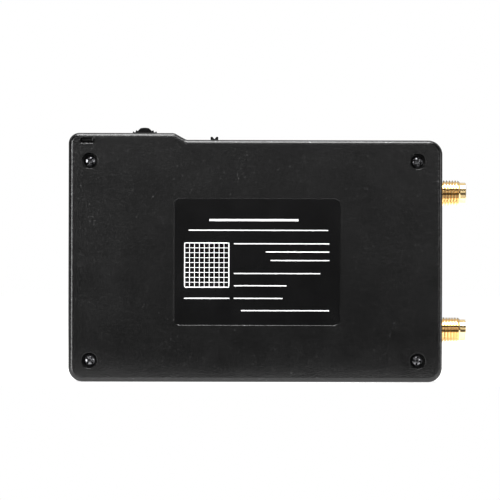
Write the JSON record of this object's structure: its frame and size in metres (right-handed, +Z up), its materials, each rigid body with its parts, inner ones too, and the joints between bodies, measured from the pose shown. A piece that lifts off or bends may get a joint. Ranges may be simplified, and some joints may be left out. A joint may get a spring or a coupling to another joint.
{
  "type": "antenna analyzer",
  "caption": "Handheld antenna analyzer: black two-part case with gold coaxial ports, jog lever, slide switch, charging socket and touch display.",
  "frame": {"origin": "centre of the bottom edge faces, on the surface that the case stands on", "axes": "+Z up with the case on its long bottom edge, +X towards the antenna ports, -Y out of the back with the label, +Y out of the screen"},
  "size_m": [0.098, 0.016, 0.0626],
  "materials": {
    "case_plastic": "fine even texture",
    "label_film": "smooth printed film",
    "black_screw": "black oxide",
    "gold_plate": "polished gold plating",
    "port_insulator": "smooth white resin",
    "touch_glass": "glossy dark panel",
    "display_cell": "glossy",
    "sheet_steel": "tinned sheet",
    "switch_plastic": "moulded",
    "knob_plastic": "fine moulded",
    "contact_bronze": "bare bronze",
    "flex_film": "amber film",
    "board_laminate": "solder resist",
    "chip_resin": "moulded resin",
    "foam": "closed-cell foam",
    "battery_foil": "satin foil",
    "guard_tape": "amber tape",
    "lead_red": "smooth",
    "lead_black": "smooth",
    "plug_nylon": "natural nylon"
  },
  "bodies": {
    "root": {"back_cover": "case_plastic", "front_shell": "case_plastic", "label": "label_film", "case_screw_1": "black_screw", "case_screw_2": "black_screw", "case_screw_3": "black_screw", "case_screw_4": "black_screw", "screen_gasket": "foam", "touch_panel": "touch_glass", "display_tray": "sheet_steel", "display_panel": "display_cell", "display_flex": "flex_film", "circuit_board": "board_laminate", "port_1_body": "gold_plate", "port_2_body": "gold_plate", "port_1_insulator": "port_insulator", "port_2_insulator": "port_insulator", "port_1_contact": "gold_plate", "port_2_contact": "gold_plate", "usb_shell": "sheet_steel", "usb_tongue": "switch_plastic", "slide_switch_base": "switch_plastic", "slide_switch_cover": "sheet_steel", "jog_switch_base": "switch_plastic", "jog_switch_cover": "sheet_steel", "jog_push_dome": "sheet_steel", "battery_cell": "battery_foil", "battery_guard_strip": "guard_tape", "battery_pad": "foam", "battery_lead_red": "lead_red", "battery_lead_black": "lead_black", "battery_plug": "plug_nylon", "battery_header": "plug_nylon", "processor_chip": "chip_resin", "codec_chip": "chip_resin", "clock_chip": "chip_resin", "clock_crystal": "sheet_steel", "charger_chip": "chip_resin", "power_inductor": "chip_resin", "mixer_chip_1": "chip_resin", "mixer_chip_2": "chip_resin", "mixer_chip_3": "chip_resin", "shield_lid_1": "sheet_steel", "shield_lid_2": "sheet_steel"},
    "jog_carrier": {"jog_carrier": "switch_plastic", "jog_pivot_pin": "sheet_steel", "jog_return_spring": "sheet_steel"},
    "jog_knob": {"jog_knob": "knob_plastic"},
    "power_slider": {"power_slider": "knob_plastic", "slide_switch_contact": "contact_bronze"}
  },
  "joints": [
    {"name": "jog_press", "type": "slide", "parent": "root", "child": "jog_carrier", "axis": [0, 0, -1], "range_m": [0, 0.0004], "stiffness_N_per_m": 1500, "springref_m": -0.0002},
    {"name": "jog_tilt", "type": "hinge", "parent": "jog_carrier", "child": "jog_knob", "pos_m": [-0.03045, -0.0019, 0.05785], "axis": [0, 1, 0], "range_deg": [-12, 12], "stiffness_Nm_per_rad": 0.006},
    {"name": "power_slide", "type": "slide", "parent": "root", "child": "power_slider", "axis": [1, 0, 0], "range_m": [0, 0.002]}
  ]
}
